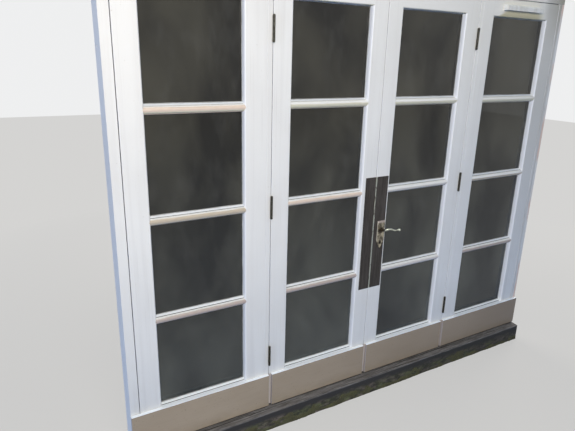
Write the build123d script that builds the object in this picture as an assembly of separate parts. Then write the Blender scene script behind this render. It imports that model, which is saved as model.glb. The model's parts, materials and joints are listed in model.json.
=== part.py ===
from build123d import *
import math
import os

# A pair of outward opening glazed doors between two fixed side lights, in one timber frame.
# X runs across the opening with 0 between the doors, Y runs from the outside into the wall
# with 0 on the outer face of the frame, and Z is up from the underside of the sill.

# Frame members
jamb_face = 39.0
mullion_face = 23.0
head_face = 45.0
frame_depth = 95.0
stop_overlap = 12.0
door_stop_clearance = 2.0
fixing_hole_radius = 4.25
fixing_hole_spacing = 1400.0
fixing_hole_y = 70.0

# Sill
sill_height = 104.0
sill_projection = 56.0
sill_fall = 5.5
sill_nose_radius = 4.0

# Leaves
leaf_thickness = 44.0
leaf_gap = 3.0
door_sight_width = 405.0
door_hinge_stile = 91.0
door_meeting_stile = 85.0
light_width = 600.0
light_outer_stile = 94.0
left_light_inner_stile = 101.0
right_light_inner_stile = 84.0
arris_radius = 1.5
ovolo_width = 6.0
ovolo_depth = 12.0
tenon_length = 60.0
tenon_shoulder = 9.0

# Glazing
top_rail_height = 85.0
bottom_rail_height = 185.0
bottom_rail_fall = 9.0
pane_sight_height = 396.0
bar_count = 3
bar_height = 38.0
bar_nose_depth = 12.5
bar_nose_foot = 2.5
weathering_fall = 6.5
quirk_width = 2.0
quirk_depth = 3.0
quirk_lip = 2.0
left_light_drop = 3.5
right_light_drop = 2.0
glass_setback = 26.0
glass_thickness = 4.0
glass_clearance = 1.0
glass_rebate = 12.0
bead_depth = 13.0
bead_face = 7.0

# Weatherboards on the feet of the leaves
board_thickness = 16.0
board_height = 173.0
board_lift = 2.5
board_top_radius = 3.0
board_hinge_setback = 9.5
board_meeting_setback_left = 11.0
board_meeting_setback_right = 6.0
board_hinge_setback_right = 18.0
light_board_setback = 5.0

# Butt hinges
hinge_height = 102.0
hinge_top_inset = 200.0
hinge_bottom_inset = 277.0
hinge_middle_rise = 3.0
hinge_plate_thickness = 2.4
hinge_plate_depth = 32.0
hinge_plate_spacing = 0.6
hinge_knuckle_radius = 5.5
hinge_knuckle_count = 5
hinge_knuckle_gap = 0.3
hinge_axis_offset = 6.0
hinge_pin_radius = 2.5
hinge_pin_clearance = 0.05
hinge_pin_head_radius = 3.6
hinge_pin_head_height = 2.0

# Bare timber strips let into the meeting stiles
strip_depth = 5.0
strip_proud = 0.8
strip_lift = 511.0
strip_length = 596.0
left_strip_width = 62.0
right_strip_inset = 6.5
right_strip_width = 69.0

# Lever handle and its plates
spindle_backset = 51.0
spindle_lift = 829.0
spindle_side = 8.0
key_drop = 66.0
plate_width = 48.0
plate_above = 47.0
plate_below = 104.0
plate_shoulder = 60.0
plate_tip_radius = 3.0
plate_thickness = 3.0
collar_radius = 12.0
collar_height = 4.0
neck_radius = 8.0
neck_length = 16.0
neck_clearance = 0.08
lever_length = 94.0
lever_standoff = 45.0
lever_ball_radius = 7.3
key_eye_radius = 3.4
key_slot_width = 4.0
key_slot_drop = 11.0
screw_head_radius = 3.4
screw_head_height = 1.2
screw_shank_radius = 1.7
screw_shank_length = 16.0
screw_clearance = 0.1
running_gap = 0.3

# Mortice lock and striking plate
lock_thickness = 14.0
lock_depth = 62.0
lock_above = 40.0
lock_below = 44.0
lock_clearance = 0.3
forend_thickness = 3.0
forend_width = 21.0
forend_overlap = 18.0
spindle_bore_radius = 6.2
latch_width = 12.0
latch_height = 22.0
latch_length = 36.0
latch_travel = 12.0
latch_bevel = 8.0
dead_bolt_width = 10.0
dead_bolt_height = 26.0
dead_bolt_length = 36.0
dead_bolt_travel = 14.0
bolt_rest_inset = 0.5
strike_thickness = 2.0
strike_width = 20.0
strike_overlap = 34.0
strike_clearance = 1.0
strike_pocket_depth = 16.0

# Barrel bolts on the room side of the left door
bolt_inset = 32.0
bolt_plate_width = 30.0
bolt_plate_length = 112.0
bolt_plate_thickness = 2.5
bolt_radius = 5.0
bolt_clearance = 0.08
bolt_length = 104.0
bolt_travel = 18.0
bolt_guide_width = 20.0
bolt_guide_height = 14.0
bolt_guide_wall = 3.0
bolt_knob_radius = 4.0
bolt_knob_length = 14.0
bolt_head_room = 1.5
keep_thickness = 2.0
keep_width = 40.0
keep_depth = 24.0
keep_clearance = 0.6

# Slot ventilator in the top rail of the right side light
vent_slot_length = 248.0
vent_slot_height = 12.0
vent_slot_lift = 37.0
vent_side_shift = -7.5
hood_end_cover = 18.0
hood_height = 27.0
hood_projection = 30.0
hood_wall = 2.0
hood_drop = 1.0
vent_base_end_cover = 18.0
vent_base_height = 40.0
vent_base_thickness = 3.0
flap_thickness = 2.0
flap_barrel_radius = 2.5
flap_pin_radius = 1.25
flap_pin_length = 4.0
flap_pin_clearance = 0.05
flap_ear_width = 6.0

# Places that follow from the sizes above
door_width = door_hinge_stile + door_sight_width + door_meeting_stile
door_opening = 2 * door_width + 3 * leaf_gap
mullion_inner_x = door_opening / 2
mullion_outer_x = mullion_inner_x + mullion_face
light_outer_x = mullion_outer_x + light_width
jamb_inner_x = light_outer_x + leaf_gap
jamb_outer_x = jamb_inner_x + jamb_face
leaf_bottom = sill_height + leaf_gap
sight_bottom = leaf_bottom + bottom_rail_height
bar_pitch = pane_sight_height + bar_height
sight_top = sight_bottom + (bar_count + 1) * pane_sight_height + bar_count * bar_height
leaf_top = sight_top + top_rail_height
head_soffit = leaf_top + leaf_gap
frame_top = head_soffit + head_face
door_stop_y = leaf_thickness + door_stop_clearance
stop_reach = leaf_gap + stop_overlap
upstand_top = leaf_bottom + stop_overlap
stop_soffit = leaf_top - stop_overlap
hinge_bottom_z = leaf_bottom + hinge_bottom_inset
hinge_top_z = leaf_top - hinge_top_inset
hinge_middle_z = (hinge_bottom_z + hinge_top_z) / 2 + hinge_middle_rise
hinge_centres = (hinge_bottom_z, hinge_middle_z, hinge_top_z)
hinge_axis_x = mullion_inner_x - leaf_gap / 2
hinge_axis_y = -hinge_axis_offset
lock_y = leaf_thickness / 2
meeting_edge_x = leaf_gap / 2
spindle_x = meeting_edge_x + spindle_backset
spindle_z = leaf_bottom + spindle_lift
key_z = spindle_z - key_drop
bolt_x = -meeting_edge_x - bolt_inset
bolt_y = leaf_thickness + bolt_plate_thickness + bolt_guide_wall + bolt_radius
hood_length = vent_slot_length + 2 * hood_end_cover
vent_base_length = vent_slot_length + 2 * vent_base_end_cover


def block(x, y, z):
    """A box between two limits on each axis."""
    centre = Pos((x[0] + x[1]) / 2, (y[0] + y[1]) / 2, (z[0] + z[1]) / 2)
    return centre * Box(x[1] - x[0], y[1] - y[0], z[1] - z[0])


def around(centre, width):
    """The two limits of a width about its centre."""
    return centre - width / 2, centre + width / 2


def rod_x(y, z, x, radius):
    """A round bar along X between two limits."""
    return Pos((x[0] + x[1]) / 2, y, z) * Rot(0, 90, 0) * Cylinder(radius, x[1] - x[0])


def rod_y(x, z, y, radius):
    """A round bar along Y between two limits."""
    return Pos(x, (y[0] + y[1]) / 2, z) * Rot(90, 0, 0) * Cylinder(radius, y[1] - y[0])


def rod_z(x, y, z, radius):
    """A round bar along Z between two limits."""
    return Pos(x, y, (z[0] + z[1]) / 2) * Cylinder(radius, z[1] - z[0])


def outline(corners, place):
    """A closed face through the corners (u, v, rounding).

    A rounding is a radius, or a pair of reaches for a quarter ellipse: how far it runs back along
    the side before the corner, and how far on along the side after it.
    """
    edges = []
    ends = []
    count = len(corners)
    for index in range(count):
        u, v, rounding = corners[index]
        here = Vector(u, v)
        before = (Vector(*corners[index - 1][:2]) - here).normalized()
        after = (Vector(*corners[(index + 1) % count][:2]) - here).normalized()
        if rounding == 0:
            ends.append((here, here))
            continue
        if isinstance(rounding, tuple):
            start = here + before * rounding[0]
            finish = here + after * rounding[1]
            pull = 0.5523
            points = (start, start + (here - start) * pull, finish + (here - finish) * pull, finish)
            edges.append(Bezier(*[Vector(*place(p.X, p.Y)) for p in points]))
        else:
            half_angle = math.radians(before.get_angle(after)) / 2
            reach = rounding / math.tan(half_angle)
            start = here + before * reach
            finish = here + after * reach
            inward = (before + after).normalized()
            middle = here + inward * (rounding / math.sin(half_angle) - rounding)
            edges.append(ThreePointArc(*[Vector(*place(p.X, p.Y)) for p in (start, middle, finish)]))
        ends.append((start, finish))
    for index in range(count):
        leave = ends[index][1]
        arrive = ends[(index + 1) % count][0]
        if (arrive - leave).length > 1e-6:
            edges.append(Line(place(leave.X, leave.Y), place(arrive.X, arrive.Y)))
    return Face(Wire(edges))


def upright(corners, z):
    """A vertical member with its section given as corners (x, y, rounding)."""
    section = outline(corners, lambda u, v: (u, v, z[0]))
    return extrude(section, amount=z[1] - z[0], dir=(0, 0, 1))


def crosswise(corners, x):
    """A horizontal member with its section given as corners (y, z, rounding)."""
    section = outline(corners, lambda u, v: (x[0], u, v))
    return extrude(section, amount=x[1] - x[0], dir=(1, 0, 0))


def sheet_xz(corners, y):
    """A flat plate in the plane of the doors, its shape given as corners (x, z, rounding)."""
    section = outline(corners, lambda u, v: (u, y[0], v))
    return extrude(section, amount=y[1] - y[0], dir=(0, 1, 0))


def mirrored_x(shape):
    return mirror(shape, about=Plane.YZ)


def sill():
    """Heavy sill with a falling outer face, a rounded nose and an upstand behind the leaves."""
    corners = [
        (-sill_projection, 0, 0),
        (frame_depth, 0, 0),
        (frame_depth, upstand_top, 0),
        (door_stop_y, upstand_top, arris_radius),
        (door_stop_y, sill_height, 0),
        (0, sill_height, 0),
        (-sill_projection, sill_height - sill_fall, sill_nose_radius),
    ]
    return crosswise(corners, (-jamb_outer_x, jamb_outer_x))


def head():
    """Top member of the frame with the stop that the leaves close against."""
    corners = [
        (0, head_soffit, arris_radius),
        (door_stop_y, head_soffit, 0),
        (door_stop_y, stop_soffit, arris_radius),
        (frame_depth, stop_soffit, 0),
        (frame_depth, frame_top, 0),
        (0, frame_top, 0),
    ]
    return crosswise(corners, (-jamb_outer_x, jamb_outer_x))


def right_jamb(sill_shape, head_shape):
    """Jamb with its rebate, housed over the sill and under the head, and its two fixing holes."""
    stop_x = jamb_inner_x - stop_reach
    corners = [
        (jamb_inner_x, 0, arris_radius),
        (jamb_outer_x, 0, 0),
        (jamb_outer_x, frame_depth, 0),
        (stop_x, frame_depth, 0),
        (stop_x, leaf_thickness, arris_radius),
        (jamb_inner_x, leaf_thickness, 0),
    ]
    shape = upright(corners, (sill_height, head_soffit)) - sill_shape - head_shape
    middle = (sill_height + head_soffit) / 2
    for z in (middle - fixing_hole_spacing / 2, middle + fixing_hole_spacing / 2):
        shape -= rod_x(fixing_hole_y, z, (stop_x - 1, jamb_outer_x + 1), fixing_hole_radius)
    return shape


def right_mullion(sill_shape, head_shape):
    """Mullion between a door and a side light, with a stop for each and the hinge housings."""
    corners = [
        (mullion_inner_x, 0, arris_radius),
        (mullion_outer_x, 0, arris_radius),
        (mullion_outer_x, leaf_thickness, 0),
        (mullion_outer_x + stop_overlap, leaf_thickness, arris_radius),
        (mullion_outer_x + stop_overlap, frame_depth, 0),
        (mullion_inner_x - stop_reach, frame_depth, 0),
        (mullion_inner_x - stop_reach, door_stop_y, arris_radius),
        (mullion_inner_x, door_stop_y, 0),
    ]
    shape = upright(corners, (sill_height, head_soffit)) - sill_shape - head_shape
    for z in hinge_centres:
        shape -= hinge_plate(z, 1)
    return shape


def hinge_plate(z, side):
    """One flat leaf of a hinge on the right hand gap: side 1 on the mullion, -1 on the door."""
    near = hinge_axis_x + side * hinge_plate_spacing / 2
    far = near + side * hinge_plate_thickness
    return block(sorted((near, far)), (0, hinge_plate_depth), around(z, hinge_height))


def hinge_half(z, side):
    """A hinge leaf with its knuckles: the mullion's leaf has the odd ones, the door's the even."""
    pitch = hinge_height / hinge_knuckle_count
    near = hinge_axis_x + side * hinge_plate_spacing / 2
    far = near + side * hinge_plate_thickness
    shape = hinge_plate(z, side)
    for index in range(hinge_knuckle_count):
        if (index % 2 == 0) != (side == 1):
            continue
        low = z - hinge_height / 2 + index * pitch
        span = (low + hinge_knuckle_gap / 2, low + pitch - hinge_knuckle_gap / 2)
        if index == 0:
            span = (low, span[1])
        if index == hinge_knuckle_count - 1:
            span = (span[0], low + pitch)
        shape += rod_z(hinge_axis_x, hinge_axis_y, span, hinge_knuckle_radius)
        shape += block(sorted((near, far)), (hinge_axis_y, 0), span)
    bore = hinge_pin_radius + hinge_pin_clearance
    reach = (z - hinge_height, z + hinge_height)
    return shape - rod_z(hinge_axis_x, hinge_axis_y, reach, bore)


def hinge_pin(z):
    """A loose pin with a flat head at each end of the knuckles."""
    half = hinge_height / 2
    top = z + half + hinge_pin_head_height
    bottom = z - half - hinge_pin_head_height
    shape = rod_z(hinge_axis_x, hinge_axis_y, (bottom, top), hinge_pin_radius)
    shape += rod_z(hinge_axis_x, hinge_axis_y, (z + half, top), hinge_pin_head_radius)
    shape += rod_z(hinge_axis_x, hinge_axis_y, (bottom, z - half), hinge_pin_head_radius)
    return shape


def stile(outer, sight):
    """A leaf's vertical member: rounded outer arris, ovolo on the sight line, rebate behind it."""
    away = math.copysign(1, outer - sight)
    back = sight + away * glass_rebate
    corners = [
        (outer, 0, arris_radius),
        (sight, 0, (ovolo_width, ovolo_depth)),
        (sight, glass_setback, 0),
        (back, glass_setback, 0),
        (back, leaf_thickness, 0),
        (outer, leaf_thickness, arris_radius),
    ]
    return upright(corners, (leaf_bottom, leaf_top))


def weathering(top):
    """The upper edge of a bar or bottom rail from its nose in to the glass, as corners (y, z, 0).

    It starts on the lip at the back of the nose, dips into a quirk, and rises to the glass line.
    """
    floor = top - weathering_fall - quirk_depth
    quirk_back = bar_nose_depth + quirk_width
    return [
        (bar_nose_depth, floor + quirk_lip, 0),
        (bar_nose_depth, floor, 0),
        (quirk_back, floor, 0),
        (quirk_back, top - weathering_fall, 0),
        (glass_setback, top, 0),
    ]


def top_rail(x, sight):
    back = sight + glass_rebate
    corners = [
        (0, leaf_top, arris_radius),
        (0, sight, (ovolo_width, ovolo_depth)),
        (glass_setback, sight, 0),
        (glass_setback, back, 0),
        (leaf_thickness, back, 0),
        (leaf_thickness, leaf_top, arris_radius),
    ]
    return crosswise(corners, x)


def bottom_rail(x, sight):
    """Deep rail whose upper face falls towards the outside, with a quirk along it."""
    back = sight - glass_rebate
    corners = [
        (0, leaf_bottom, arris_radius),
        (0, sight - bottom_rail_fall, arris_radius),
        *weathering(sight),
        (glass_setback, back, 0),
        (leaf_thickness, back, 0),
        (leaf_thickness, leaf_bottom, arris_radius),
    ]
    return crosswise(corners, x)


def glazing_bar(x, z):
    """Bar with a rounded nose flush with the stiles, a weathered top and a web between the panes."""
    half = bar_height / 2
    web = half - glass_rebate
    nose_top = z + half - weathering_fall - quirk_depth + quirk_lip
    nose_foot = z - half + bar_nose_foot
    rise = (nose_top - nose_foot) / 2
    corners = [
        (0, nose_foot, (bar_nose_depth, rise)),
        (0, nose_top, (rise, bar_nose_depth)),
        *weathering(z + half),
        (glass_setback, z + web, 0),
        (leaf_thickness, z + web, 0),
        (leaf_thickness, z - web, 0),
        (glass_setback, z - web, 0),
        (glass_setback, z - half, 0),
        (bar_nose_depth, z - half, 0),
        (bar_nose_depth, nose_foot, 0),
    ]
    return crosswise(corners, x)


def tenon(x, z):
    """Tenon on the end of a rail, between the depth of the ovolo and the glazing rebate."""
    return block(sorted(x), (ovolo_depth, glass_setback), z)


def bead_ring(x, z):
    """Four mitred glazing beads round the back of one pane, splayed towards the room."""
    y = (glass_setback + glass_thickness, glass_setback + glass_thickness + bead_depth)
    outer = [(x[0], z[0]), (x[1], z[0]), (x[1], z[1]), (x[0], z[1])]
    inward = [(1, 1), (-1, 1), (-1, -1), (1, -1)]
    beads = []
    for index in range(4):
        other = (index + 1) % 4
        faces = []
        for depth, width in zip(y, (glass_rebate, bead_face)):
            corners = [outer[index], outer[other]]
            for corner in (other, index):
                u, v = outer[corner]
                turn = inward[corner]
                corners.append((u + turn[0] * width, v + turn[1] * width))
            faces.append(Face(Wire.make_polygon([(u, depth, v) for u, v in corners])))
        beads.append(loft(faces, ruled=True))
    return beads


def leaf(left, right, left_stile, right_stile, drop=0.0):
    """All timber and glass of one leaf between its two edges, as a dictionary of pieces.

    A drop lowers every glass line of the leaf: its rails' inner edges, its bars and its panes.
    """
    sight = (left + left_stile, right - right_stile)
    low_sight = sight_bottom - drop
    high_sight = sight_top - drop
    wide = (sight[0] - glass_rebate, sight[1] + glass_rebate)
    stiles = [stile(left, sight[0]), stile(right, sight[1])]
    both = stiles[0] + stiles[1]
    rails = [bottom_rail(wide, low_sight) - both, top_rail(wide, high_sight) - both]
    tenon_heights = [
        (leaf_bottom + tenon_shoulder, low_sight - glass_rebate),
        (high_sight + glass_rebate, leaf_top - tenon_shoulder),
    ]
    for index, z in enumerate(tenon_heights):
        for inner, outer in ((sight[0], sight[0] - tenon_length), (sight[1], sight[1] + tenon_length)):
            peg = tenon((inner, outer), z)
            rails[index] += peg
            stiles = [one - peg for one in stiles]
    bars = []
    edges = [low_sight]
    for index in range(bar_count):
        z = low_sight + pane_sight_height + bar_height / 2 + index * bar_pitch
        bars.append(glazing_bar(wide, z) - both)
        edges += [z - bar_height / 2, z + bar_height / 2]
    edges.append(high_sight)
    panes = []
    beads = []
    cover = glass_rebate - glass_clearance
    glass_y = (glass_setback, glass_setback + glass_thickness)
    for low, high in zip(edges[0::2], edges[1::2]):
        span = (sight[0] - cover, sight[1] + cover)
        panes.append(block(span, glass_y, (low - cover, high + cover)))
        beads += bead_ring(wide, (low - glass_rebate, high + glass_rebate))
    return {
        "left_stile": stiles[0],
        "right_stile": stiles[1],
        "bottom_rail": rails[0],
        "top_rail": rails[1],
        "bars": bars,
        "panes": panes,
        "beads": beads,
    }


def weatherboard(x):
    """Board fixed across the foot of a leaf, its upper outer arris rounded off."""
    low = leaf_bottom + board_lift
    high = low + board_height
    corners = [
        (0, low, 0),
        (0, high, 0),
        (-board_thickness, high, board_top_radius),
        (-board_thickness, low, arris_radius),
    ]
    return crosswise(corners, x)


def keyhole(y):
    """Round eye with a slot below it, cut right through between two depths."""
    slot_z = (key_z - key_slot_drop, key_z)
    shape = rod_y(spindle_x, key_z, y, key_eye_radius)
    return shape + block(around(spindle_x, key_slot_width), y, slot_z)


def plate_screw_places():
    side = plate_width / 2 - 2 * screw_head_radius
    top = spindle_z + plate_above - 2 * screw_head_radius
    bottom = spindle_z - plate_below + 3 * screw_head_radius
    return [(spindle_x - side, top), (spindle_x + side, top), (spindle_x, bottom)]


def plate_screw(x, z, face_y):
    """Round headed screw through the handle plate that lies on the face at face_y."""
    under_head = face_y - plate_thickness
    head = rod_y(x, z, (under_head - screw_head_height, under_head), screw_head_radius)
    shank = rod_y(x, z, (under_head, under_head + screw_shank_length), screw_shank_radius)
    return head + shank


def screw_hole(x, z, face_y):
    start = face_y - plate_thickness
    reach = (start - 1, start + screw_shank_length + 1)
    return rod_y(x, z, reach, screw_shank_radius + screw_clearance)


def handle_plate(face_y):
    """Brass plate, square at the top and tapered to a rounded point below the keyhole."""
    half = plate_width / 2
    corners = [
        (-half, plate_above, plate_tip_radius),
        (half, plate_above, plate_tip_radius),
        (half, -plate_shoulder, half / 2),
        (0, -plate_below, plate_tip_radius),
        (-half, -plate_shoulder, half / 2),
    ]
    places = [(spindle_x + u, spindle_z + v, radius) for u, v, radius in corners]
    shape = sheet_xz(places, (face_y - plate_thickness, face_y))
    top = face_y - plate_thickness
    shape += rod_y(spindle_x, spindle_z, (top - collar_height, top), collar_radius)
    bore = neck_radius + neck_clearance
    shape -= rod_y(spindle_x, spindle_z, (top - 2 * collar_height, face_y + 1), bore)
    shape -= keyhole((top - 1, face_y + 1))
    for x, z in plate_screw_places():
        shape -= screw_hole(x, z, face_y)
    return shape


def lever(face_y):
    """Swan necked lever with a ball end, on a round neck that turns in the plate's collar."""
    start = face_y - running_gap
    neck_end = start - neck_length
    neck = rod_y(spindle_x, spindle_z, (neck_end, start), neck_radius)
    arm_end = lever_length - lever_ball_radius
    route = Spline(
        (spindle_x, neck_end + 4, spindle_z),
        (spindle_x, neck_end - 10, spindle_z + 2),
        (spindle_x + 5, -lever_standoff + 3, spindle_z + 7),
        (spindle_x + 18, -lever_standoff, spindle_z + 11),
        (spindle_x + 38, -lever_standoff, spindle_z + 5),
        (spindle_x + 58, -lever_standoff, spindle_z - 1),
        (spindle_x + arm_end, -lever_standoff, spindle_z - 2),
        tangents=((0, -1, 0), (1, 0, 0)),
    )
    thickness = ((0.0, 6.5), (0.16, 5.6), (0.33, 5.4), (0.48, 4.6), (0.66, 3.6), (0.84, 3.2), (1.0, 3.6))
    sections = []
    for share, radius in thickness:
        plane = Plane(origin=route @ share, z_dir=route % share)
        sections.append(plane * Circle(radius))
    arm = loft(sections)
    ball = Pos(spindle_x + arm_end, -lever_standoff, spindle_z - 2) * Sphere(lever_ball_radius)
    return neck + arm + ball


def spindle():
    reach = (-strip_proud - running_gap - neck_length, leaf_thickness + running_gap + neck_length)
    return block(around(spindle_x, spindle_side), reach, around(spindle_z, spindle_side))


def to_room_side(shape):
    return mirror(shape, about=Plane(origin=(0, leaf_thickness / 2, 0), z_dir=(0, 1, 0)))


def bolt_slot(width, height, z, x):
    """The straight passage of a lock's bolt, wider than the bolt by its clearance all round."""
    extra = 2 * lock_clearance
    return block(x, around(lock_y, width + extra), around(z, height + extra))


def lock_passages():
    """Both bolt passages from the forend into the case."""
    x = (meeting_edge_x - 1, meeting_edge_x + latch_length + dead_bolt_travel / 2)
    shape = bolt_slot(latch_width, latch_height, spindle_z, x)
    return shape + bolt_slot(dead_bolt_width, dead_bolt_height, key_z, x)


def lock_case():
    x = (meeting_edge_x + forend_thickness, meeting_edge_x + forend_thickness + lock_depth)
    z = (key_z - lock_below, spindle_z + lock_above)
    shape = block(x, around(lock_y, lock_thickness), z)
    bore = rod_y(spindle_x, spindle_z, around(lock_y, 2 * lock_thickness), spindle_bore_radius)
    return shape - lock_passages() - bore - keyhole(around(lock_y, 2 * lock_thickness))


def forend():
    z = (key_z - lock_below - forend_overlap, spindle_z + lock_above + forend_overlap)
    x = (meeting_edge_x, meeting_edge_x + forend_thickness)
    return block(x, around(lock_y, forend_width), z) - lock_passages()


def lock_mortice():
    """Everything cut from the right meeting stile for the lock, its spindle and its key."""
    x = (meeting_edge_x - 1, meeting_edge_x + forend_thickness + lock_depth)
    z = (key_z - lock_below, spindle_z + lock_above)
    face = (key_z - lock_below - forend_overlap, spindle_z + lock_above + forend_overlap)
    shape = block(x, around(lock_y, lock_thickness), z)
    front = (meeting_edge_x - 1, meeting_edge_x + forend_thickness)
    shape += block(front, around(lock_y, forend_width), face)
    through = (-strip_proud - 1, leaf_thickness + 1)
    shape += rod_y(spindle_x, spindle_z, through, spindle_bore_radius)
    return shape + keyhole(through)


def latch_bolt():
    """Sprung bolt, bevelled on the room side so that it rides over the striking plate."""
    nose = meeting_edge_x + bolt_rest_inset
    y = around(lock_y, latch_width)
    corners = [
        (nose, y[0], 0),
        (nose, y[1] - latch_bevel, 0),
        (nose + latch_travel, y[1], 0),
        (nose + latch_length, y[1], 0),
        (nose + latch_length, y[0], 0),
    ]
    return upright(corners, around(spindle_z, latch_height))


def dead_bolt():
    nose = meeting_edge_x + bolt_rest_inset
    x = (nose, nose + dead_bolt_length)
    return block(x, around(lock_y, dead_bolt_width), around(key_z, dead_bolt_height))


def strike_openings(depth):
    """Both holes of the striking plate, and the pockets behind them, to a depth from the edge."""
    x = (-meeting_edge_x - depth, -meeting_edge_x + 1)
    shape = None
    sizes = ((latch_width, latch_height, spindle_z), (dead_bolt_width, dead_bolt_height, key_z))
    for width, height, z in sizes:
        extra = 2 * strike_clearance
        hole = block(x, around(lock_y, width + extra), around(z, height + extra))
        shape = hole if shape is None else shape + hole
    return shape


def strike_blank():
    x = (-meeting_edge_x - strike_thickness, -meeting_edge_x)
    z = (key_z - strike_overlap, spindle_z + strike_overlap)
    return block(x, around(lock_y, strike_width), z)


def barrel_bolt(tip_z, up):
    """Rod and plate of a bolt whose tip rests at tip_z and slides up (1) or down (-1)."""
    guide_depth = bolt_guide_height / 2 + 1
    upper = tip_z - up * guide_depth
    lower = tip_z - up * (bolt_length - bolt_travel - guide_depth)
    rod = rod_z(bolt_x, bolt_y, sorted((tip_z, tip_z - up * bolt_length)), bolt_radius)
    knob_z = upper - up * (bolt_guide_height / 2 + bolt_travel + 2 * bolt_knob_radius)
    knob = rod_y(bolt_x, knob_z, (bolt_y, bolt_y + bolt_radius + bolt_knob_length), bolt_knob_radius)
    plate_z = sorted((tip_z, tip_z - up * bolt_plate_length))
    plate_y = (leaf_thickness, leaf_thickness + bolt_plate_thickness)
    plate = block(around(bolt_x, bolt_plate_width), plate_y, plate_z)
    guide_y = (leaf_thickness, bolt_y + bolt_radius + bolt_guide_wall)
    for z in (upper, lower):
        plate += block(around(bolt_x, bolt_guide_width), guide_y, around(z, bolt_guide_height))
    reach = sorted((tip_z + up, tip_z - up * (bolt_plate_length - 6)))
    plate -= rod_z(bolt_x, bolt_y, reach, bolt_radius + bolt_clearance)
    return rod + knob, plate


def keep(face_z, away):
    """Flat keep on the stop at face_z, standing off it towards away, with the bolt's hole."""
    z = sorted((face_z, face_z + away * keep_thickness))
    plate = block(around(bolt_x, keep_width), (door_stop_y, door_stop_y + keep_depth), z)
    return plate - bolt_socket(face_z)


def bolt_socket(face_z):
    depth = bolt_travel + keep_thickness
    return rod_z(bolt_x, bolt_y, (face_z - depth, face_z + depth), bolt_radius + keep_clearance)


def vent_centre():
    sight = (mullion_outer_x + right_light_inner_stile, light_outer_x - light_outer_stile)
    return (sight[0] + sight[1]) / 2 + vent_side_shift, sight_top + vent_slot_lift


def vent_slot():
    x, z = vent_centre()
    return block(around(x, vent_slot_length), (-1, leaf_thickness + 20), around(z, vent_slot_height))


def vent_hood():
    """Hood over the slot, open below, with its front sloped back at the top and its ends closed."""
    x, z = vent_centre()
    low = z - vent_slot_height / 2 - hood_drop
    high = low + hood_height
    span = around(x, hood_length)
    slope = hood_projection / 4
    outer = [
        (0, low, 0),
        (0, high, 0),
        (slope - hood_projection, high, 2.0),
        (-hood_projection, high - slope, 2.0),
        (-hood_projection, low, 0),
    ]
    inner = [
        (1, low - 1, 0),
        (1, high - hood_wall, 0),
        (slope - hood_projection + hood_wall / 2, high - hood_wall, 1.0),
        (hood_wall - hood_projection, high - slope - hood_wall / 2, 1.0),
        (hood_wall - hood_projection, low - 1, 0),
    ]
    inside = (span[0] + hood_wall, span[1] - hood_wall)
    return crosswise(outer, span) - crosswise(inner, inside)


def vent_flap_axis():
    """The flap's pivot line, as (y, z)."""
    z = vent_centre()[1] + vent_base_height / 2 - flap_barrel_radius - 2
    return leaf_thickness + vent_base_thickness + flap_barrel_radius + 0.5, z


def vent_base():
    """Plate on the room side of the slot, with an ear at each end for the flap's pivots."""
    x, z = vent_centre()
    y = (leaf_thickness, leaf_thickness + vent_base_thickness)
    axis_y, axis_z = vent_flap_axis()
    shape = block(around(x, vent_base_length), y, around(z, vent_base_height))
    shape -= vent_slot()
    ear_y = (leaf_thickness, axis_y + flap_barrel_radius)
    ear_z = around(axis_z, 2 * flap_barrel_radius + 2)
    for side in (-1, 1):
        end = x + side * vent_base_length / 2
        shape += block(sorted((end, end - side * flap_ear_width)), ear_y, ear_z)
    ends = (x - vent_base_length / 2 + 1, x + vent_base_length / 2 - 1)
    shape -= rod_x(axis_y, axis_z, ends, flap_pin_radius + flap_pin_clearance)
    return shape


def vent_flap():
    """Flap that hangs over the slot from a barrel with a pivot at each end."""
    x, z = vent_centre()
    axis_y, axis_z = vent_flap_axis()
    inner = vent_base_length / 2 - flap_ear_width - running_gap
    span = (x - inner, x + inner)
    face_y = leaf_thickness + vent_base_thickness + running_gap
    shape = rod_x(axis_y, axis_z, span, flap_barrel_radius)
    low = z - vent_base_height / 2 + 3
    shape += block(span, (face_y, face_y + flap_thickness), (low, axis_z))
    pivot = inner + flap_pin_length
    return shape + rod_x(axis_y, axis_z, (x - pivot, x + pivot), flap_pin_radius)


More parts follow.
